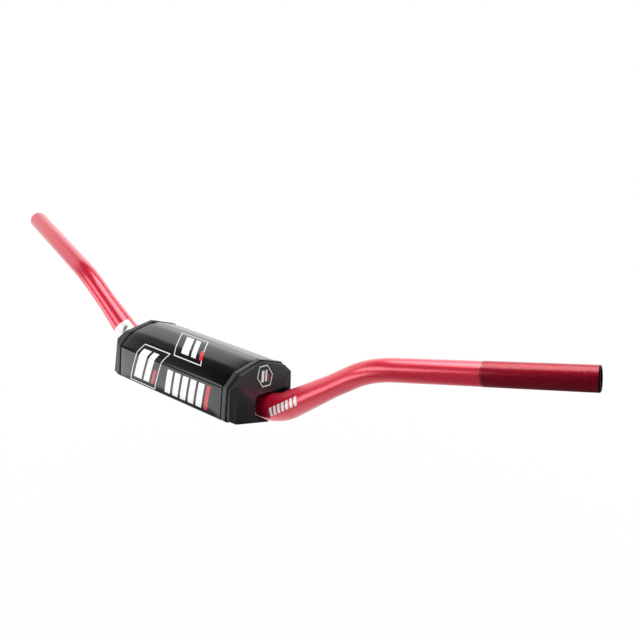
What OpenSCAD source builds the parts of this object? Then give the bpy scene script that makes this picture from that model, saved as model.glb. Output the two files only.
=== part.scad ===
// Motocross handlebar with a block pad: a bent, tapered alloy tube with a foam
// pad strapped over its middle. Millimetres.
// Frame: +X is the rider's left (the knurled end), +Y is to the rear, where the
// grips sweep, and +Z is up. The origin is on the tube's centreline, half way
// between the ends, in the middle of the part that the clamps hold.

/* [Bar] */
// width between the centres of the two end faces, measured along X
bar_w = 811; // [700:1:830]
// how far the end faces' centres stand above the middle
bar_rise = 105.1; // [60:0.1:130]
// how far the end faces' centres sit behind the middle
bar_sweep = 58.9; // [30:0.1:80]
// outer diameter in the middle
clamp_d = 28.6; // [25.4:0.1:31.8]
// outer diameter where the grips go
grip_d = 22.2; // [22:0.1:22.5]
// wall thickness in the middle
clamp_wall = 4.4; // [2:0.1:5]
// wall thickness where the grips go
grip_wall = 3.8; // [1.5:0.1:4]
// chamfer round the outer rim of each end
end_chamfer = 0.8; // [0.2:0.1:1.5]
// length of the knurl, from the left end inward
knurl_len = 94.5; // [60:1:140]
// how far the knurl stands above the smooth tube
knurl_step = 0.15; // [0.05:0.05:0.4]

/* [Bends] */
// X of the corner where the middle meets the riser, before rounding
low_corner_x = 107.2; // [80:0.1:130]
// centreline radius of the lower bend
low_bend_r = 65; // [50:1:110]
// X of the corner where the riser meets the grip length
high_corner_x = 216.6; // [180:0.1:250]
// height of that corner
high_corner_z = 75.7; // [40:0.1:90]
// how far that corner sits behind the middle
high_corner_y = 7.4; // [0:0.1:30]
// centreline radius of the upper bend
high_bend_r = 92; // [60:1:120]
// share of the straight riser over which the tube tapers
taper_share = 0.7; // [0.4:0.05:0.95]

/* [Pad] */
// length of the covered body between the two end caps
pad_len = 159; // [120:1:200]
// front to back
pad_d = 90.4; // [60:0.2:110]
// height of the ridge over the tube's centreline
pad_ridge_z = 49.9; // [35:0.1:60]
// height of the two edges where the roof meets the bevels
pad_brow_z = 41.6; // [30:0.1:50]
// distance between those two edges
pad_brow_d = 63.4; // [40:0.2:80]
// height of the two edges where the bevels meet the front and back faces
pad_shoulder_z = 28.6; // [15:0.1:35]
// how far the covered body reaches below the tube's centreline
pad_skirt = 6.8; // [0:0.5:12]
// how far the pad sits forward of the tube
pad_forward = 9.3; // [0:0.1:20]
// how far the pad leans back, degrees
pad_tilt = 8.3; // [0:0.1:20]
// thickness of the cover
cover_t = 1.2; // [0.6:0.1:2]

/* [End caps] */
// width of the groove between the cover and the rim
groove_w = 2; // [1:0.1:4]
// depth of that groove
groove_deep = 2.2; // [1:0.1:4]
// width of the rim
rim_w = 5.2; // [3:0.1:8]
// how far the rim stands out past the cover
rim_proud = 0.4; // [0:0.1:2]
// how far the caps reach below the tube's centreline
cap_skirt = 7.5; // [3:0.5:14]
// step from the rim down to the faceted nose
nose_step = 1.1; // [0.5:0.1:3]
// how far the nose reaches past the rim at the ridge
nose_top = 2.3; // [1:0.1:6]
// how far the upper facet runs outward for each millimetre down
nose_slope = 0.308; // [0.1:0.01:0.6]
// how far the lower facets would reach past the rim on the pad's middle
nose_low = 19.2; // [10:0.1:30]
// how far the lower facets run inward for each millimetre to the side
nose_bow = 0.23; // [0:0.01:0.6]
// how far the lower facets run outward for each millimetre down
nose_rake = 0.08; // [0:0.01:0.4]
// how much is taken off the nose's front and back upright corners
nose_corner = 2.6; // [0:0.1:4]
// width of the mouth round the tube
mouth_w = 55; // [36:1:60]
// height of the mouth's roof over the tube's centreline
mouth_z = 18.6; // [16:0.1:26]
// how far the caps' underside drops from its edges to the tube's middle
chin_drop = 4.6; // [0:0.1:6]
// rounding of the caps' lower corners
foot_r = 4.5; // [1:0.5:6]
// height of the mouth's floor over the tube's centreline, on the lip under the tube
lip_z = -8; // [-9:0.5:-5]
// distance of the lip's end from the tube's middle
lip_end = 4.5; // [3:0.5:12]
// how far the lip's hollow rises with the tube
lip_lift = 1.2; // [0.5:0.1:3]
// gap between the tube and the cap's inner wall
slot_gap = 0.3; // [0.1:0.1:1]

/* [Badges] */
// width of the badge on each cap
badge_w = 24; // [14:0.5:28]
// height of the badge on each cap
badge_h = 22; // [14:0.5:26]
// thickness of the badge
badge_t = 0.6; // [0.3:0.1:1.5]
// distance of the badge's centre from the ridge, down the facet
badge_down = 15.6; // [12:0.1:22]

/* [Clamp recess] */
// length of the hollow for the handlebar clamps
recess_len = 116; // [80:1:120]
// width of that hollow
recess_w = 54; // [44:1:60]
// height of that hollow over the tube's centreline
recess_z = 27; // [20:0.5:32]

/* [Straps] */
// width of each strap
strap_w = 16; // [10:0.5:20]
// thickness of the webbing
strap_t = 1.4; // [0.8:0.1:2]
// distance of each strap from the middle
strap_x = 68.5; // [64:0.5:72]
// length of the sewn part in front of the tube
strap_front = 28; // [12:1:34]
// length of the closing part behind the tube
strap_back = 17; // [8:1:19]
// thickness of the hook tape under the closing part
hook_t = 1; // [0.5:0.1:2]

/* [Hidden] */
$fn = 96;

red = [0.72, 0.05, 0.09];
gloss_black = [0.05, 0.05, 0.06];
cap_black = [0.1, 0.1, 0.11];
foam_grey = [0.2, 0.2, 0.21];
badge_white = [0.9, 0.9, 0.9];
web_black = [0.07, 0.07, 0.08];
hook_grey = [0.15, 0.15, 0.16];

// a small overrun that keeps cuts clean
cut = 1;

// Corners of the centreline, left half.
mid = [0, 0, 0];
low = [low_corner_x, 0, 0];
high = [high_corner_x, high_corner_y, high_corner_z];
tip = [bar_w / 2, bar_sweep, bar_rise];

function unit(v) = v / norm(v);
function turn(a, b, c) = acos(unit(b - a) * unit(c - b));
// length that a rounded corner takes from each straight
function lead(a, b, c, r) = r * tan(turn(a, b, c) / 2);
function arc_start(a, b, c, r) = b - unit(b - a) * lead(a, b, c, r);
function arc_end(a, b, c, r) = b + unit(c - b) * lead(a, b, c, r);

low_in = arc_start(mid, low, high, low_bend_r);
low_out = arc_end(mid, low, high, low_bend_r);
high_in = arc_start(low, high, tip, high_bend_r);
high_out = arc_end(low, high, tip, high_bend_r);
grip_r = grip_d / 2;
clamp_r = clamp_d / 2;

// Puts children drawn along +Z onto the line from a towards b.
module aim(a, b) {
    d = unit(b - a);
    translate(a)
        rotate([0, acos(d[2]), atan2(d[1], d[0])])
            children();
}

// A straight length on the line from a to b, turned from its side view:
// pairs of distance from a and radius, first to last.
module turned(a, b, steps) {
    n = len(steps);
    aim(a, b)
        rotate_extrude()
            polygon(concat([[0, steps[0][0]]],
                [for (p = steps) [p[1], p[0]]],
                [[0, steps[n - 1][0]]]));
}

// A round corner at b, centreline radius r, tube radius t.
module bend(a, b, c, r, t) {
    s = arc_start(a, b, c, r);
    ang = turn(a, b, c);
    din = unit(b - a);
    nrm = unit(cross(din, unit(c - b)));
    side = cross(nrm, din);
    o = s + side * r;
    ex = -side;
    ey = din;
    multmatrix([[ex[0], ey[0], nrm[0], o[0]],
        [ex[1], ey[1], nrm[1], o[1]],
        [ex[2], ey[2], nrm[2], o[2]],
        [0, 0, 0, 1]])
        rotate_extrude(angle = ang)
            translate([r, 0])
                circle(r = t);
}

// Each straight runs this far into the bends beside it, and each bend is this
// much fuller, so that the lengths join without two faces lying together.
bite = 1;
fuller = 0.1;

// The bends and the riser of one half, inside or outside.
module half_run(rc, rg) {
    riser = norm(high_in - low_out);
    bend(mid, low, high, low_bend_r, rc + fuller);
    turned(low_out, high_in, [[-bite, rc], [0, rc],
        [riser * taper_share, rg], [riser + bite, rg]]);
    bend(low, high, tip, high_bend_r, rg + fuller);
}

// A grip length with its chamfered end; k is the height of its knurl.
module grip_run(k) {
    l = norm(tip - high_out);
    at = l - knurl_len;
    steps = k > 0
        ? [[-bite, grip_r], [at, grip_r], [at + k, grip_r + k],
            [l - end_chamfer - k, grip_r + k], [l, grip_r - end_chamfer]]
        : [[-bite, grip_r], [l - end_chamfer, grip_r], [l, grip_r - end_chamfer]];
    turned(high_out, tip, steps);
}

module both_sides() {
    children();
    mirror([1, 0, 0])
        children();
}

module middle_run(r) {
    l = low_in[0] + bite;
    turned([-l, 0, 0], [l, 0, 0], [[0, r], [2 * l, r]]);
}

module handlebar_tube() {
    bore_c = clamp_r - clamp_wall;
    bore_g = grip_r - grip_wall;
    l = norm(tip - high_out);
    color(red)
        difference() {
            union() {
                middle_run(clamp_r);
                both_sides()
                    half_run(clamp_r, grip_r);
                grip_run(knurl_step);
                mirror([1, 0, 0])
                    grip_run(0);
            }
            union() {
                middle_run(bore_c);
                both_sides()
                    half_run(bore_c, bore_g);
                both_sides()
                    turned(high_out, tip, [[-bite, bore_g], [l + cut, bore_g]]);
            }
        }
}

// Places children drawn in the pad's own upright frame, where Y = 0 is the
// pad's middle plane and Z = 0 is level with the tube's centreline.
module in_pad() {
    rotate([-pad_tilt, 0, 0])
        translate([0, -pad_forward, 0])
            children();
}

// Extrudes an outline drawn in the pad's Y and Z from x0 to x1.
module along_x(x0, x1) {
    translate([x0, 0, 0])
        rotate([90, 0, 90])
            linear_extrude(height = x1 - x0)
                children();
}

// The pad's corners, from the front's lower edge over the ridge to the back's.
function corners(skirt) = [
    [-pad_d / 2, -skirt],
    [-pad_d / 2, pad_shoulder_z],
    [-pad_brow_d / 2, pad_brow_z],
    [0, pad_ridge_z],
    [pad_brow_d / 2, pad_brow_z],
    [pad_d / 2, pad_shoulder_z],
    [pad_d / 2, -skirt]
];

// Corner b of a-b-c, with both sides moved inward by g.
function moved(a, b, c, g) = let (
    u = unit(b - a),
    v = unit(c - b),
    p = b + [u[1], -u[0]] * g,
    q = b + [v[1], -v[0]] * g
) p + u * cross(q - p, v) / cross(u, v);

// The pad's outline moved inward by g, with its underside at -skirt.
function outline(g, skirt) = let (
    c = corners(skirt),
    n = len(c)
) concat(
    [c[0] + [g, 0]],
    [for (i = [1 : n - 2]) moved(c[i - 1], c[i], c[i + 1], g)],
    [c[n - 1] - [g, 0]]
);

half_pad = pad_len / 2;
rim_x = half_pad + groove_w;
nose_x = rim_x + rim_w;
// longer and deeper than anything that is cut
far = 60;

// A channel with a round roof about the tube, open below.
module channel(r) {
    translate([pad_forward, 0]) {
        circle(r = r);
        translate([-r, -far])
            square([2 * r, far]);
    }
}

// The hollow in the pad's underside that clears the handlebar clamps.
module recess() {
    translate([-recess_len / 2, pad_forward - recess_w / 2, -far])
        cube([recess_len, recess_w, far + recess_z]);
}

module foam_core() {
    color(foam_grey)
        in_pad()
            difference() {
                along_x(-half_pad, half_pad)
                    difference() {
                        polygon(outline(cover_t, pad_skirt - cover_t));
                        channel(clamp_r);
                    }
                recess();
            }
}

module pad_cover() {
    lip = clamp_r + 1;
    color(gloss_black)
        in_pad()
            difference() {
                along_x(-half_pad, half_pad)
                    difference() {
                        polygon(outline(0, pad_skirt));
                        polygon(outline(cover_t, pad_skirt - cover_t));
                        translate([pad_forward - lip, -far])
                            square([2 * lip, far]);
                    }
                recess();
            }
}

// Everything on the far side of the upper facet.
module over_facet() {
    top = pad_ridge_z + far;
    foot = -far;
    at_top = nose_x + nose_top + nose_slope * (pad_ridge_z - top);
    at_foot = nose_x + nose_top + nose_slope * (pad_ridge_z - foot);
    translate([0, pad_d, 0])
        rotate([90, 0, 0])
            linear_extrude(height = 2 * pad_d)
                polygon([[at_top, top], [at_foot, foot],
                    [nose_x + 2 * far, foot], [nose_x + 2 * far, top]]);
}

// Everything on the far side of one lower facet; s is -1 in front, 1 behind.
module over_bow(s) {
    n = unit([1, s * nose_bow, nose_rake]);
    translate([nose_x + nose_low, 0, 0])
        rotate([0, -asin(n[2]), atan2(n[1], n[0])])
            translate([0, -2 * far, -2 * far])
                cube([2 * far, 4 * far, 4 * far]);
}

// Everything on the far side of the flat that takes off an upright corner.
module over_corner(s) {
    n = unit([1, s * nose_bow, nose_rake]);
    m = unit(n + [0, s, 0]);
    side = pad_d / 2 - nose_step;
    x = nose_x + nose_low - nose_bow * side;
    translate([x, s * side, 0])
        rotate([0, -asin(m[2]), atan2(m[1], m[0])])
            translate([-nose_corner, -2 * far, -2 * far])
                cube([2 * far, 4 * far, 4 * far]);
}

// The mouth in the nose that clears the rising tube. In front it closes under
// the tube with a lip, and behind it is open below, so that the cap can snap on.
module mouth() {
    r = 8;
    low_r = 12;
    w = mouth_w / 2;
    translate([pad_forward, 0]) {
        for (s = [-1, 1])
            translate([s * (w - r), mouth_z - r])
                circle(r = r);
        translate([r - w, lip_z + low_r])
            square([2 * (w - r), mouth_z - lip_z - low_r]);
        translate([-w, lip_z + low_r])
            square([2 * w, mouth_z - r - lip_z - low_r]);
        translate([low_r - w, lip_z + low_r])
            circle(r = low_r);
        translate([low_r - w, lip_z])
            square([2 * w - low_r, mouth_z - r - lip_z]);
        translate([0, lip_lift])
            circle(r = clamp_r + slot_gap + lip_lift);
        translate([-lip_end, -far])
            square([w + lip_end, far]);
    }
}

// A cap's outline, moved inward by g: the pad's own, with rounded feet and an
// underside that drops towards the tube.
module cap_side(g) {
    w = pad_d / 2 - g;
    foot = max(g, 0) - cap_skirt;
    intersection() {
        polygon(concat(outline(g, -foot), [[pad_forward, foot - chin_drop]]));
        union() {
            translate([-w, foot + foot_r])
                square([2 * w, far]);
            translate([foot_r - w, -far])
                square([2 * (w - foot_r), 2 * far]);
            for (s = [-1, 1])
                translate([s * (w - foot_r), foot + foot_r])
                    circle(r = foot_r);
        }
    }
}

module end_cap() {
    color(cap_black)
        in_pad()
            difference() {
                union() {
                    along_x(half_pad, rim_x)
                        cap_side(groove_deep);
                    along_x(rim_x, nose_x)
                        cap_side(-rim_proud);
                    difference() {
                        along_x(nose_x, nose_x + nose_low)
                            cap_side(nose_step);
                        over_facet();
                        for (s = [-1, 1]) {
                            over_bow(s);
                            over_corner(s);
                        }
                    }
                }
                along_x(half_pad - cut, nose_x + cut)
                    channel(clamp_r + slot_gap);
                along_x(nose_x - slot_gap, nose_x + far)
                    mouth();
            }
}

module end_cap_left() {
    end_cap();
}

module end_cap_right() {
    mirror([1, 0, 0])
        end_cap();
}

// A plain six-sided plate lying on the upper facet.
module end_badge() {
    lean = atan(nose_slope);
    w = badge_w / 2;
    h = badge_h / 2;
    color(badge_white)
        in_pad()
            translate([nose_x + nose_top, 0, pad_ridge_z])
                rotate([0, -lean, 0])
                    translate([0, 0, -badge_down])
                        rotate([90, 0, 90])
                            linear_extrude(height = badge_t)
                                polygon([[-w, 0], [-w / 2, h], [w / 2, h],
                                    [w, 0], [w / 2, -h], [-w / 2, -h]]);
}

module end_badge_left() {
    end_badge();
}

module end_badge_right() {
    mirror([1, 0, 0])
        end_badge();
}

// The strap's side view, about the tube's centreline: sewn flat in front,
// round under the tube, closing flat behind on the hook tape.
module strap_side() {
    ro = clamp_r + strap_t;
    back_z = -pad_skirt - hook_t;
    difference() {
        union() {
            intersection() {
                circle(r = ro);
                union() {
                    translate([-far, -far])
                        square([far, far - pad_skirt]);
                    translate([0, -far])
                        square([far, far + back_z]);
                }
            }
            translate([-ro - strap_front, -pad_skirt - strap_t])
                square([ro + strap_front, strap_t]);
            translate([0, back_z - strap_t])
                square([ro + strap_back, strap_t]);
        }
        circle(r = clamp_r);
    }
}

module strap() {
    color(web_black)
        in_pad()
            along_x(strap_x - strap_w / 2, strap_x + strap_w / 2)
                translate([pad_forward, 0])
                    strap_side();
}

module strap_left() {
    strap();
}

module strap_right() {
    mirror([1, 0, 0])
        strap();
}

// The tape sewn under the cover behind the tube, where the strap closes.
module hook_tape() {
    near = clamp_r + 2;
    color(hook_grey)
        in_pad()
            translate([strap_x - strap_w / 2, pad_forward + near,
                -pad_skirt - hook_t])
                cube([strap_w, strap_back, hook_t]);
}

module hook_tape_left() {
    hook_tape();
}

module hook_tape_right() {
    mirror([1, 0, 0])
        hook_tape();
}

handlebar_tube();
foam_core();
pad_cover();
end_cap_left();
end_cap_right();
end_badge_left();
end_badge_right();
strap_left();
strap_right();
hook_tape_left();
hook_tape_right();
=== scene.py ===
from math import atan, cos, pi, radians, tan

import bmesh
import bpy
from mathutils import Matrix, Vector


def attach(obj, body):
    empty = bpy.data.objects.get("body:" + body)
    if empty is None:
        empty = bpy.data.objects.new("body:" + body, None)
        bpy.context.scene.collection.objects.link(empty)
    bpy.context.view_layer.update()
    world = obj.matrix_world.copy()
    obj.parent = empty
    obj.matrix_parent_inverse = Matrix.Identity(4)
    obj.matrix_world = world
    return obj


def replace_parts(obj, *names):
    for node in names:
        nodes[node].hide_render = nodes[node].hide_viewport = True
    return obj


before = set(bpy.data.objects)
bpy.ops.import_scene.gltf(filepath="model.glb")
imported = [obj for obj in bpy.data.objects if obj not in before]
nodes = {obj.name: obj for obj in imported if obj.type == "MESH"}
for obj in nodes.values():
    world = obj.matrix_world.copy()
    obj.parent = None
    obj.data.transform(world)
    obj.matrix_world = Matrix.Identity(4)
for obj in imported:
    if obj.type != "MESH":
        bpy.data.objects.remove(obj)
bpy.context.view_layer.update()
mm = 0.001

scene = bpy.context.scene
scene.view_settings.view_transform = "Standard"

# ---------------------------------------------------------------- camera
lens = bpy.data.cameras.new("camera")
lens.sensor_width = 36
lens.lens = 44.05
lens.clip_start = 0.01
camera = bpy.data.objects.new("camera", lens)
camera.location = (0.595304, -0.518438, 0.372923)
camera.rotation_euler = (1.202396, -0.002052, 0.696192)
scene.collection.objects.link(camera)
scene.camera = camera


# ------------------------------------------------------------- materials
class Wire:
    """A node's output that takes part in sums."""

    def __init__(self, finish, socket):
        self.finish = finish
        self.socket = socket

    def maths(self, operation, *others):
        """This value and the others put through one maths node."""
        return self.finish.node("ShaderNodeMath", {"operation": operation},
                                dict(enumerate((self, *others))))

    def __add__(self, other):
        return self.maths("ADD", other)

    __radd__ = __add__

    def __sub__(self, other):
        return self.maths("SUBTRACT", other)

    def __rsub__(self, other):
        return self.finish.node("ShaderNodeMath", {"operation": "SUBTRACT"}, {0: other, 1: self})

    def __mul__(self, other):
        return self.maths("MULTIPLY", other)

    __rmul__ = __mul__

    def __truediv__(self, other):
        return self.maths("DIVIDE", other)

    def __abs__(self):
        return self.maths("ABSOLUTE")

    def past(self, edge, soft):
        """0 before the edge and 1 after it, over a soft step to both sides of it."""
        return self.finish.node("ShaderNodeMapRange", {"clamp": True},
                                {0: self, 1: edge - soft, 2: edge + soft, 3: 0.0, 4: 1.0})

    def wave(self):
        return self.maths("SINE")

    def between(self, low, high, soft):
        """1 from low to high and 0 outside."""
        return self.past(low, soft) - self.past(high, soft)


class Finish:
    """A procedural material on the standard shader."""

    def __init__(self, name, **constants):
        self.material = bpy.data.materials.new(name)
        self.material.use_nodes = True
        self.tree = self.material.node_tree
        self.shader = self.tree.nodes["Principled BSDF"]
        for socket, value in constants.items():
            self.shader.inputs[socket.replace("_", " ")].default_value = value

    def node(self, kind, settings=None, inputs=None, output=0):
        made = self.tree.nodes.new(kind)
        for key, value in (settings or {}).items():
            setattr(made, key, value)
        for key, value in (inputs or {}).items():
            self.join(value, made.inputs[key])
        return Wire(self, made.outputs[output])

    def join(self, value, socket):
        if isinstance(value, Wire):
            self.tree.links.new(value.socket, socket)
        else:
            socket.default_value = value

    def feed(self, **wires):
        for socket, wire in wires.items():
            self.join(wire, self.shader.inputs[socket.replace("_", " ")])

    def place(self):
        return self.node("ShaderNodeTexCoord", output="Object")

    def split(self, vector):
        made = self.node("ShaderNodeSeparateXYZ", inputs={0: vector})
        outputs = made.socket.node.outputs
        return [Wire(self, outputs[i]) for i in range(3)]

    def dot(self, vector, axis):
        return self.node("ShaderNodeVectorMath", {"operation": "DOT_PRODUCT"},
                         {0: vector, 1: tuple(axis)}, "Value")

    def less(self, vector, point):
        return self.node("ShaderNodeVectorMath", {"operation": "SUBTRACT"},
                         {0: vector, 1: tuple(point)})

    def noise(self, vector, scale, detail=3.0, rough=0.5):
        return self.node("ShaderNodeTexNoise", None,
                         {"Vector": vector, "Scale": scale, "Detail": detail,
                          "Roughness": rough})

    def blend(self, amount, low, high):
        return self.node("ShaderNodeMix", {"data_type": "RGBA"},
                         {"Factor": amount, 6: low, 7: high}, 2)

    def bump(self, height, distance, strength=1.0, normal=None):
        inputs = {"Height": height, "Distance": distance, "Strength": strength}
        if normal is not None:
            inputs["Normal"] = normal
        return self.node("ShaderNodeBump", None, inputs)


def grey(level):
    return (level, level, level, 1)


WHITE = (0.86, 0.86, 0.87, 1)
PRINT_RED = (0.62, 0.03, 0.05, 1)

# The left half of the bar's centreline: the corners of its two bends and its
# end, in metres, and the directions of the riser and of the straight grip.
LOW = Vector((0.1072, 0, 0))
HIGH = Vector((0.2166, 0.0074, 0.0757))
TIP = Vector((0.4055, 0.0589, 0.1051))
RISER = (HIGH - LOW).normalized()
GRIP = (TIP - HIGH).normalized()
KNURL = 0.0945  # the knurl's length from the end face, in metres
TAPER = 0.7  # the share of the riser's straight part where the taper ends

# The tube's sizes in millimetres.
LOW_BEND, HIGH_BEND = 65, 92
CLAMP_R, GRIP_R = 14.3, 11.1
CLAMP_BORE, GRIP_BORE = 9.9, 7.3
END_CHAMFER, END_R = 0.8, 10.3
KNURL_STEP = 0.15

# The pad leans forward by its tilt, and sits a little in front of the tube.
PAD_TILT = radians(8.3)
PAD_FORWARD = 9.3
RIDGE = 49.9  # the height of the pad's ridge in its own upright frame
NOSE_LEAN = 0.308  # how much the caps' upper facets lean back on each millimetre
BADGE_DOWN = 15.6  # from the ridge down the facet to the badge's middle
SKIRT = -6.8  # the height of the pad's lower edges
HALF_PAD = 79.5

# The cover's layer "wrap" runs over this many millimetres both ways, and
# starts this far before the front's lower corner.
WRAP_SPAN, WRAP_START = 300, 50

in_pad = Matrix.Rotation(-PAD_TILT, 4, "X") @ Matrix.Translation((0, -PAD_FORWARD * mm, 0))
pad_axes = in_pad.to_3x3()


def anodised_red():
    f = Finish("anodised_red", Coat_Weight=0.9, Coat_Roughness=0.25, Coat_IOR=1.95)
    place = f.place()
    x, y, _ = f.split(place)
    cloud = f.noise(place, 14.0)
    grain = f.noise(place, 420.0, 3.0)
    colour = f.blend(cloud, (0.80, 0.005, 0.044, 1), (0.88, 0.009, 0.058, 1))

    # the knurl: two sets of ridges that wind round the left grip's end and cross
    out = f.less(place, TIP)
    from_end = f.dot(out, -GRIP)
    side = Vector((-GRIP.y, GRIP.x, 0)).normalized()
    up = GRIP.cross(side)
    angle = f.node("ShaderNodeMath", {"operation": "ARCTAN2"},
                   {0: f.dot(out, side), 1: f.dot(out, up)})
    ridges_round = 36
    pitch = 0.002
    ridges = [(angle * ridges_round + from_end * (way * 2 * pi / pitch)).wave() for way in (-1, 1)]
    on_left_grip = x.past(0.25, 0.001)
    knurled = (1 - from_end.past(KNURL, 0.0003)) * on_left_grip
    joint = from_end.between(KNURL, KNURL + 0.0012, 0.0002) * on_left_grip
    pits = (ridges[0] * ridges[1]).past(0.1, 0.3) * knurled
    # painted shade: the knurled band is painted darker and its pits near black, standing in for the
    # shade in the knurl's valleys
    colour = f.blend(knurled * 0.25, colour, (0.34, 0.006, 0.020, 1))
    colour = f.blend(pits * 0.8, colour, (0.09, 0.001, 0.005, 1))
    colour = f.blend(joint * 0.8, colour, (0.05, 0.001, 0.003, 1))

    # seven plain slanted bars on the front of the left riser
    near = f.less(place, LOW)
    over = f.dot(near, Vector((-RISER.z, 0, RISER.x)).normalized())
    front = 1 - y.past(-0.002, 0.0008)
    lean = f.dot(near, RISER) - over * 0.35
    bars = sum(lean.between((1.5 + 6.1 * i) * mm, (5.4 + 6.1 * i) * mm, 0.0002) for i in range(7))
    bars = bars * over.between(-0.0022, 0.0062, 0.0002) * front

    # a white patch with one grey stripe on the right riser
    far = f.less(place, Vector((-LOW.x, LOW.y, LOW.z)))
    along = f.dot(far, Vector((-RISER.x, RISER.y, RISER.z)))
    far_front = (1 - x.past(-0.1, 0.001)) * (1 - y.past(0.004, 0.0008))
    patch = along.between(0.028, 0.0465, 0.0003) * far_front
    level = f.dot(far, (0.364, 0.817, 0.446))
    stripe = (along - level * 0.5).between(0.0355, 0.0395, 0.0003)
    stripe = stripe * level.between(-0.0055, 0.0035, 0.0003) * patch
    printed = bars + patch
    colour = f.blend(printed, colour, WHITE)
    colour = f.blend(stripe, colour, grey(0.16))

    # painted shade: the knurled end's end face and chamfer are painted near black, standing in for
    # the shade on the bar's near end; the plain end is not
    face = (1 - from_end.past(0.0012, 0.0004)) * on_left_grip
    colour = f.blend(face * 0.97, colour, (0.004, 0.001, 0.001, 1))
    f.feed(Base_Color=colour,
           Roughness=0.34 + grain * 0.05 + knurled * 0.12 + printed * 0.08,
           Metallic=(0.5 + 0.5 * knurled) * (1 - printed),
           Coat_Weight=0.9 - knurled * 0.3 - face * 0.6 - pits * (1 - face) * 0.4,
           Normal=f.bump(pits * -1.0, 0.00022, 0.9))
    return f.material


def slanted_bar(x, v, left, right, low, high, slant):
    """A plain bar of print from low to high: left and right are its sides at its foot."""
    soft = 0.22
    lean = x - (v - low) * slant
    return lean.between(left, right, soft) * v.between(low, high, soft)


def slanted_frame(x, v, left, right, low, high, slant):
    """The thin outline of such a bar."""
    line = 1.0
    side = 1.1
    return (slanted_bar(x, v, left, right, low, high, slant)
            - slanted_bar(x, v, left + side + line * slant, right - side + line * slant,
                          low + line, high - line, slant))


def gloss_cover():
    f = Finish("gloss_cover", Specular_IOR_Level=0.05, Coat_Weight=1.0, Coat_Roughness=0.15,
               Coat_IOR=1.5)
    wrap = f.node("ShaderNodeUVMap", {"uv_map": "wrap"})
    place = f.place()
    u, v, _ = f.split(wrap)
    x = (u - 0.5) * WRAP_SPAN
    v = v * WRAP_SPAN - WRAP_START

    # the print, in millimetres along the pad and round it: a framed field over
    # the front's top edge, a row of stripes and a framed field on the roof
    white_bars = [(-55, -42.5, 8, 42, 0.28), (-39, -30, 8, 42, 0.28)]
    white_bars += [(-4 + 12 * i, 4.5 + 12 * i, 5, 31, 0.14) for i in range(5)]
    white_bars += [(4, 15, 53, 80, -0.75), (19, 26, 53, 80, -0.75)]
    frames = [(-62, -20, 2.5, 47.5, 0.28), (-2, 40, 47, 85.5, -0.75)]
    red_bars = [(-26.5, -22.5, 8, 24, 0.28), (56, 61, 5, 31, 0.14), (31, 36, 53, 66, -0.75)]
    white = (sum(slanted_bar(x, v, *bar) for bar in white_bars)
             + sum(slanted_frame(x, v, *bar) for bar in frames))
    red = sum(slanted_bar(x, v, *bar) for bar in red_bars)

    scuff = f.noise(place, 22.0, 5.0)
    base = f.blend(scuff, (0.0012, 0.0011, 0.0018, 1), (0.003, 0.0027, 0.004, 1))
    base = f.blend(white, base, WHITE)
    base = f.blend(red, base, PRINT_RED)

    # a fine cloth backing telegraphs through the film, over slow soft waves
    weave = (x * 7.5).wave() * (v * 7.5).wave()
    ripple = f.bump(f.noise(place, 28.0, 1.0), 0.0012, 0.22)
    fine = weave * 0.5 + f.noise(place, 900.0, 2.0) * 0.6
    f.feed(Base_Color=base, Roughness=0.26 + scuff * 0.12,
           Normal=f.bump(fine, 0.00003, 0.35, ripple))
    return f.material


def satin_cap():
    f = Finish("satin_cap", Specular_IOR_Level=0.35, Coat_Weight=0.3, Coat_Roughness=0.26)
    place = f.place()
    cloud = f.noise(place, 30.0, 4.0)
    grain = f.noise(place, 1500.0, 3.0, 0.6)
    pointed = f.node("ShaderNodeNewGeometry", output="Pointiness")
    # convex edges are painted paler: partly rubbed wear, partly a painted highlight along the rims'
    # chamfers
    wear_and_edge_highlight = pointed.past(0.54, 0.03)
    base = f.blend(cloud, (0.007, 0.006, 0.008, 1), (0.013, 0.011, 0.014, 1))
    base = f.blend(wear_and_edge_highlight * 0.7, base, (0.105, 0.098, 0.106, 1))
    f.feed(Base_Color=base, Roughness=0.36 + grain * 0.14 + cloud * 0.05,
           Normal=f.bump(grain, 0.00006, 0.5))
    return f.material


def badge_print():
    """A black field with a thin white border, two white bars and a red one."""
    f = Finish("badge_print", Coat_Weight=1.0, Coat_Roughness=0.08)
    place = f.place()
    # millimetres across the plate and up its leaning face, from its middle
    leaning = cos(atan(NOSE_LEAN))
    centre = in_pad @ Vector((0, 0, (RIDGE - BADGE_DOWN * leaning) * mm))
    near = f.less(place, centre)
    up = f.dot(near, (pad_axes @ Vector((0, 0, 1))).normalized()) * (1000 / leaning)
    wide = f.dot(near, (pad_axes @ Vector((0, 1, 0))).normalized()) * 1000
    # a six-sided border: 0 in the middle and 1 on the plate's edge
    flank = (abs(wide) + abs(up) * (6 / 11.0)) / 12.0
    border = flank.maths("MAXIMUM", abs(up) / 11.0).between(0.87, 0.96, 0.02)
    lean = wide - up * 0.3
    bars = lean.between(-5.0, -1.2, 0.15) + lean.between(0.6, 3.0, 0.15)
    bars = bars * up.between(-5.5, 5.5, 0.15)
    red = lean.between(4.2, 5.8, 0.15) * up.between(-5.5, 1.0, 0.15)
    cloud = f.noise(place, 60.0)
    base = f.blend(cloud, grey(0.012), grey(0.022))
    base = f.blend(border + bars, base, WHITE)
    base = f.blend(red, base, PRINT_RED)
    f.feed(Base_Color=base, Roughness=0.25 + cloud * 0.12,
           Normal=f.bump(f.noise(place, 700.0), 0.00002, 0.4))
    return f.material


def closed_foam():
    f = Finish("closed_foam")
    place = f.place()
    cells = f.node("ShaderNodeTexVoronoi", {"feature": "F1"},
                   {"Vector": place, "Scale": 1100.0})
    cloud = f.noise(place, 40.0, 4.0)
    shade = f.blend(cloud, grey(0.030), grey(0.052))
    f.feed(Base_Color=f.blend(cells * 0.8, shade, grey(0.012)),
           Roughness=0.78 + cloud * 0.15, Normal=f.bump(cells, 0.00025, 0.7))
    return f.material


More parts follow.
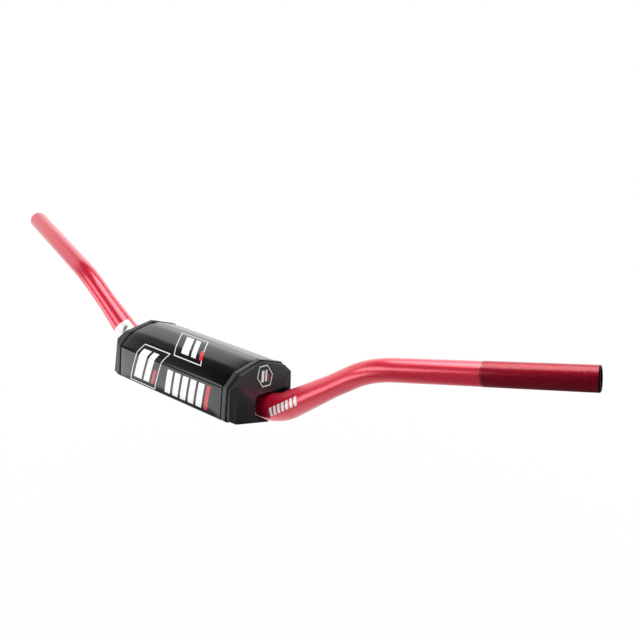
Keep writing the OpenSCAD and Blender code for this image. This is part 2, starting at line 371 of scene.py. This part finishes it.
def webbing():
    f = Finish("webbing", Sheen_Weight=0.25, Sheen_Roughness=0.5)
    place = f.place()
    x, _, _ = f.split(place)
    run = f.dot(place, pad_axes @ Vector((0, 1, 0)))
    check = (x * 7000).wave() * (run * 5200).wave()
    fuzz = f.noise(place, 900.0, 3.0)
    base = f.blend(abs(check), grey(0.012), grey(0.045))
    f.feed(Base_Color=f.blend(fuzz * 0.4, base, grey(0.06)), Roughness=0.62 + fuzz * 0.25,
           Normal=f.bump(check + fuzz * 0.5, 0.0003, 0.7))
    return f.material


def hook_face():
    f = Finish("hook_face")
    place = f.place()
    x, _, _ = f.split(place)
    run = f.dot(place, pad_axes @ Vector((0, 1, 0)))
    tips = ((x * 4200).wave() * (run * 4200).wave()).past(0.35, 0.25)
    fuzz = f.noise(place, 1400.0, 3.0)
    f.feed(Base_Color=f.blend(tips, grey(0.015), grey(0.07)), Roughness=0.55 + fuzz * 0.25,
           Normal=f.bump(tips + fuzz * 0.3, 0.0005, 0.8))
    return f.material


def thread():
    f = Finish("thread", Sheen_Weight=0.2)
    place = f.place()
    x, y, _ = f.split(place)
    twist = ((x + y) * 9000).wave()
    f.feed(Base_Color=f.blend(twist, grey(0.05), grey(0.11)), Roughness=0.6 + twist * 0.1,
           Normal=f.bump(twist, 0.00008, 0.6))
    return f.material


# ---------------------------------------------------------------- pieces
def verts_in(geometry):
    return [g for g in geometry if isinstance(g, bmesh.types.BMVert)]


def edges_in(geometry):
    return [g for g in geometry if isinstance(g, bmesh.types.BMEdge)]


def rounded(bm, edges, offset, segments, clamp=False):
    """Rounds off some edges of a mesh."""
    bmesh.ops.bevel(bm, geom=edges, offset=offset, offset_type="OFFSET", segments=segments,
                    profile=0.5, affect="EDGES", material=-1, clamp_overlap=clamp)


def piece(name, bm, material, smooth=30):
    """A visible piece on the root body, with edges sharper than smooth degrees kept."""
    mesh = bpy.data.meshes.new(name)
    for face in bm.faces:
        face.smooth = True
    bm.to_mesh(mesh)
    bm.free()
    mesh.set_sharp_from_angle(angle=radians(smooth))
    mesh.materials.append(material)
    made = bpy.data.objects.new(name, mesh)
    scene.collection.objects.link(made)
    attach(made, "root")
    return made


def draw_out(bm, ring, centre, ahead, size):
    """Extrudes an open ring of edges ahead and scales its new end."""
    made = bmesh.ops.extrude_edge_only(bm, edges=ring)["geom"]
    ends = verts_in(made)
    bmesh.ops.translate(bm, vec=ahead, verts=ends)
    bmesh.ops.scale(bm, vec=(size, size, size), verts=ends,
                    space=Matrix.Translation(-(centre + ahead)))
    return [e for e in edges_in(made) if set(e.verts) <= set(ends)]


def half_skin(bm, side, middle_r, grip_r, ends):
    """One side of a round skin along the bar's centreline, in millimetres.

    ends lists how far from the bar's end each last ring lies, and its radius.
    """
    corners = [Vector((side * c.x, c.y, c.z)) / mm for c in (Vector(), LOW, HIGH, TIP)]
    circle = bmesh.ops.create_circle(bm, segments=96, radius=middle_r,
                                     matrix=Matrix.Rotation(radians(90), 4, "Y"))["verts"]
    ring = list({e for v in circle for e in v.link_edges})
    at, radius = corners[0], middle_r
    for i, bend_r in ((1, LOW_BEND), (2, HIGH_BEND)):
        into = (corners[i] - corners[i - 1]).normalized()
        away = (corners[i + 1] - corners[i]).normalized()
        turn = into.angle(away)
        lead = bend_r * tan(turn / 2)
        start = corners[i] - into * lead
        reach = start - at
        # rings along the straight part: the share of it, and the radius there
        if i == 1:
            stops = [(0.6, middle_r), (0.97, middle_r), (1.0, middle_r)]
        else:
            stops = [(0.03, middle_r), (TAPER, grip_r), (0.97, grip_r), (1.0, grip_r)]
        done = 0.0
        for share, next_r in stops:
            step = reach * (share - done)
            ring = draw_out(bm, ring, at, step, next_r / radius)
            at, radius, done = at + step, next_r, share
        axis = into.cross(away).normalized()
        centre = start + axis.cross(into) * bend_r
        spun = bmesh.ops.spin(bm, geom=ring, cent=centre, axis=axis, angle=turn, steps=28)
        ring = edges_in(spun["geom_last"])
        at = corners[i] + away * lead
    reach = corners[3] - at
    ahead = reach.normalized()
    for from_end, next_r in [(reach.length - 2.0, grip_r)] + ends:
        step = corners[3] - ahead * from_end - at
        ring = draw_out(bm, ring, at, step, next_r / radius)
        at, radius = at + step, next_r
    return ring


def close_end(bm, skin, bore):
    """The flat face between the last rings of the skin and of the bore."""
    inner = {v for e in bore for v in e.verts}
    outer = {v for e in skin for v in e.verts}
    mate = {v: min(inner, key=lambda w: (w.co - v.co).length_squared) for v in outer}
    for edge in skin:
        a, b = edge.verts
        bm.faces.new((a, b, mate[b], mate[a]))


def bent_tube():
    """The hollow bar, drawn out from its middle: skin, bore and the faces at its ends."""
    bm = bmesh.new()
    knurl, proud = KNURL / mm, GRIP_R + KNURL_STEP
    end = (0.0, END_R)
    knurled = [(knurl, GRIP_R), (knurl - KNURL_STEP, proud), (END_CHAMFER + KNURL_STEP, proud), end]
    plain = [(END_CHAMFER, GRIP_R), end]
    for side, ends in ((1, knurled), (-1, plain)):
        skin = half_skin(bm, side, CLAMP_R, GRIP_R, ends)
        bore = half_skin(bm, side, CLAMP_BORE, GRIP_BORE, [(0.0, GRIP_BORE)])
        close_end(bm, skin, bore)
    bmesh.ops.remove_doubles(bm, verts=bm.verts, dist=1e-3)
    bmesh.ops.recalc_face_normals(bm, faces=bm.faces)
    rims = [e for e in bm.edges if min(abs(v.co.x) for v in e.verts) > 395
            and e.calc_face_angle() > radians(30)]
    rounded(bm, rims, 0.3, 3)
    bmesh.ops.scale(bm, vec=(mm, mm, mm), verts=bm.verts)
    made = piece("bent_tube", bm, anodised_red())
    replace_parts(made, "handlebar_tube")


def from_solid(node, name, material, round_by, segments=3):
    """A copy of a node's solid with its sharp edges rounded."""
    bm = bmesh.new()
    bm.from_mesh(nodes[node].data)
    bmesh.ops.remove_doubles(bm, verts=bm.verts, dist=2e-6)
    bmesh.ops.dissolve_limit(bm, angle_limit=radians(0.6), verts=bm.verts, edges=bm.edges)
    sharp = [e for e in bm.edges if len(e.link_faces) == 2 and e.calc_face_angle() > radians(14)]
    rounded(bm, sharp, round_by, segments, True)
    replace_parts(piece(name, bm, material), node)


# The cover's outline in the pad's own upright frame, in millimetres: how far
# each corner lies from the middle, its height, and the radius it is rounded to.
CORNERS = [(-6.0, SKIRT, 0), (-45.2, SKIRT, 2.2), (-45.2, 28.6, 4.5), (-31.7, 41.6, 24.0),
           (0.0, RIDGE, 34.0), (31.7, 41.6, 24.0), (45.2, 28.6, 4.5), (45.2, SKIRT, 2.2),
           (24.6, SKIRT, 0)]
UNDER_FRONT = 39.2  # the outline's length under the pad before the front's lower corner


def round_the_pad(s, h):
    """Distance round the cover from the front's lower corner, and the crown there."""
    sides, run = [], 0.0
    for (s0, h0, _), (s1, h1, _) in zip(CORNERS, CORNERS[1:]):
        step = Vector((s1 - s0, h1 - h0))
        to_point = Vector((s, h)) - Vector((s0, h0))
        share = max(0.0, min(1.0, to_point.dot(step) / step.length_squared))
        off = (to_point - step * share).length
        sides.append((off, run + share * step.length, share, step.length))
        run += step.length
    _, along, share, width = min(sides, key=lambda side: side[0])
    return along - UNDER_FRONT, 4 * share * (1 - share) * min(1.0, width / 30)


def cut_across(bm, axis, places):
    """Cuts the whole mesh at some places along an axis, in millimetres."""
    for at in places:
        normal = Vector((axis == "x", axis == "y", axis == "z"))
        bmesh.ops.bisect_plane(bm, geom=bm.verts[:] + bm.edges[:] + bm.faces[:],
                               plane_co=normal * (at * mm), plane_no=normal, dist=1e-7)


def pad_cover():
    """The cover: its outline swept along the pad, opened for the clamps and filled out."""
    bm = bmesh.new()
    chain = [bm.verts.new((-HALF_PAD * mm, s * mm, h * mm)) for s, h, _ in CORNERS]
    lines = [bm.edges.new(pair) for pair in zip(chain, chain[1:])]
    swept = verts_in(bmesh.ops.extrude_edge_only(bm, edges=lines)["geom"])
    bmesh.ops.translate(bm, vec=(2 * HALF_PAD * mm, 0, 0), verts=swept)
    for (s0, h0, _), (s, h, radius), (s1, h1, _) in zip(CORNERS, CORNERS[1:], CORNERS[2:]):
        bend = Vector((s - s0, h - h0)).angle(Vector((s1 - s, h1 - h)))
        corner = Vector((s, h)) * mm
        edge = [e for e in bm.edges if all((v.co.yz - corner).length < 1e-6 for v in e.verts)]
        rounded(bm, edge, radius * tan(bend / 2) * mm, 6)
    cut_across(bm, "x", [-78, -75, -70, -60.5, -58, 58, 60.5, 70, 75, 78, *range(-50, 51, 10)])
    cut_across(bm, "z", [1, 7, 13, 19, 24])
    cut_across(bm, "y", [-41, -37, -25, -17.7, -11, 11, 18, 25, 36.3, 38, 41.5])

    # the opening under the clamps
    under = []
    for face in bm.faces:
        x, s, h = face.calc_center_median() / mm
        if h < SKIRT + 0.05 and abs(x) < 58 and -17.7 < s < 36.3:
            under.append(face)
    bmesh.ops.delete(bm, geom=under, context="FACES")
    bmesh.ops.recalc_face_normals(bm, faces=bm.faces)
    top = max(bm.faces, key=lambda f: f.calc_center_median().z)
    if top.normal.z < 0:
        bmesh.ops.reverse_faces(bm, faces=bm.faces)
    wrap = bm.loops.layers.uv.new("wrap")
    for face in bm.faces:
        for loop in face.loops:
            x, s, h = loop.vert.co / mm
            v = (round_the_pad(s, h)[0] + WRAP_START) / WRAP_SPAN
            loop[wrap].uv = (0.5 + x / WRAP_SPAN, v)
    bm.normal_update()

    # the foam fills the cover out between its ends
    for v in bm.verts:
        x, s, h = v.co / mm
        if h > SKIRT + 2.5:
            hold = 1 - abs(x / HALF_PAD) ** 10
            v.co += v.normal * (0.35 + 0.75 * round_the_pad(s, h)[1]) * hold * mm
    bmesh.ops.solidify(bm, geom=bm.faces[:], thickness=1.2 * mm)
    bm.transform(in_pad)
    made = piece("bar_pad_cover", bm, gloss_cover(), smooth=50)
    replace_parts(made, "pad_cover")


def finish_solid(node, material):
    """A CAD solid shown as it is, with its material."""
    nodes[node].data.materials.clear()
    nodes[node].data.materials.append(material)


def stitches(name, runs, material):
    """Short sunk threads along straight runs given in the pad's frame, in millimetres."""
    bm = bmesh.new()
    for start, end, count in runs:
        a, b = Vector(start), Vector(end)
        length = (b - a).length / count
        turn = (b - a).to_track_quat("X", "Z").to_matrix().to_4x4()
        for i in range(count):
            at = a + (b - a) * ((i + 0.5) / count)
            one = bmesh.ops.create_cube(bm, size=1.0)["verts"]
            edges = list({e for v in one for e in v.link_edges})
            size = Matrix.Diagonal((length * 0.62 * mm, 0.55 * mm, 0.4 * mm, 1))
            bmesh.ops.transform(bm, matrix=Matrix.Translation(at * mm) @ turn @ size, verts=one)
            rounded(bm, edges, 0.14 * mm, 2)
    bm.transform(in_pad)
    piece(name, bm, material)


bent_tube()
pad_cover()
cap_finish, badge_finish = satin_cap(), badge_print()
strap_finish, hook_finish = webbing(), hook_face()
for hand in ("left", "right"):
    from_solid("end_cap_" + hand, "moulded_cap_" + hand, cap_finish, 0.9 * mm)
    from_solid("end_badge_" + hand, "plate_" + hand, badge_finish, 0.18 * mm, 2)
    from_solid("strap_" + hand, "web_strap_" + hand, strap_finish, 0.3 * mm, 2)
    finish_solid("hook_tape_" + hand, hook_finish)
finish_solid("foam_core", closed_foam())

# on each strap's front end, a square of stitches with its two diagonals
thread_finish = thread()
for hand, way in (("left", 1), ("right", -1)):
    x0, x1 = way * 62.5, way * 74.5
    low = SKIRT - 1.4
    s0, s1 = -32.0, -12.0
    runs = [((x0, s0, low), (x1, s0, low), 5), ((x0, s1, low), (x1, s1, low), 5),
            ((x0, s0, low), (x0, s1, low), 8), ((x1, s0, low), (x1, s1, low), 8),
            ((x0, s0, low), (x1, s1, low), 9), ((x1, s0, low), (x0, s1, low), 9)]
    stitches("strap_stitching_" + hand, runs, thread_finish)

# ------------------------------------------------------ floor and lights
FLOOR_Z = -0.5


def kinds_of_ray(finish):
    """Whether a camera's, a glossy or a transmission ray looks at the surface."""
    outputs = finish.node("ShaderNodeLightPath").socket.node.outputs
    names = ("Is Camera Ray", "Is Glossy Ray", "Is Transmission Ray")
    return [Wire(finish, outputs[name]) for name in names]


ground = Finish("floor_white", Roughness=0.9)
camera_ray, glossy_ray, through_ray = kinds_of_ray(ground)
seen = camera_ray.maths("MAXIMUM", glossy_ray).maths("MAXIMUM", through_ray)
glow = ground.node("ShaderNodeEmission", None, {"Color": (1, 1, 1, 1), "Strength": 1.0})
gx, gy, _ = ground.split(ground.place())
from_middle = (gx * gx + gy * gy).maths("SQRT")
clear = 0.95 + 0.05 * from_middle.past(0.6, 0.35)
# dark cloths lie on the floor in front and by the knurled end, for reflections only
paper = gy.past(-0.40, 0.28) * (1 - gx.past(0.10, 0.16))
cloth = (1 - paper * 0.85) * glossy_ray * 0.97
plain_floor = ground.blend(ground.noise(ground.place(), 3.0), grey(0.90), grey(0.92))
ground.feed(Base_Color=ground.blend(cloth, plain_floor, grey(0.01)))
lit = Wire(ground, ground.shader.outputs[0])
mixed = ground.node("ShaderNodeMixShader", None, {0: seen * clear * (1 - cloth), 1: lit, 2: glow})
ground.tree.links.new(mixed.socket, ground.tree.nodes["Material Output"].inputs["Surface"])
bm = bmesh.new()
bmesh.ops.create_grid(bm, x_segments=1, y_segments=1, size=6.0)
bmesh.ops.translate(bm, vec=(0, 0, FLOOR_Z), verts=bm.verts)
mesh = bpy.data.meshes.new("floor")
bm.to_mesh(mesh)
bm.free()
mesh.materials.append(ground.material)
floor = bpy.data.objects.new("floor", mesh)
scene.collection.objects.link(floor)

world = bpy.data.worlds.new("studio")
scene.world = world
world.use_nodes = True


class Studio(Finish):
    """The world's nodes: white to the eye, and a soft room to the object."""

    def __init__(self, world):
        self.tree = world.node_tree
        self.shader = self.tree.nodes["Background"]


room = Studio(world)
look = room.node("ShaderNodeTexCoord", output="Generated")
dx, dy, dz = room.split(look)
camera_ray, glossy_ray, through_ray = kinds_of_ray(room)
# the walls are pale behind and to the left, below a dark ceiling; the side
# towards the camera and the right one are dark
walls = (1 - dz.past(0.60, 0.10)) * dy.past(-0.35, 0.2) * (1 - dx.past(0.45, 0.25) * 0.8)
walls = walls * (1.35 - 0.5 * (0 - dx).past(0.76, 0.10))
plain = glossy_ray.maths("MAXIMUM", through_ray) * (0.03 + walls)
level = camera_ray + (1 - camera_ray) * (plain + (1 - glossy_ray) * 0.6)
room.join(level, room.shader.inputs["Strength"])
room.shader.inputs["Color"].default_value = (1, 1, 1, 1)


def softbox(name, place, aim, size, watts):
    data = bpy.data.lights.new(name, "AREA")
    data.shape = "RECTANGLE"
    data.size, data.size_y = size
    data.energy = watts
    lamp = bpy.data.objects.new(name, data)
    lamp.location = place
    lamp.rotation_euler = (Vector(aim) - Vector(place)).to_track_quat("-Z", "Y").to_euler()
    scene.collection.objects.link(lamp)


softbox("overhead", (0.08, 0.20, 0.90), (0.22, 0.02, 0.09), (0.7, 0.75), 6.2)
softbox("front_high", (-0.42, -1.0, 0.62), (0.0, 0.02, 0.07), (1.1, 0.45), 4.0)
softbox("front_low", (-0.82, -1.0, -0.24), (0.0, 0.0, 0.03), (1.5, 0.5), 5.0)
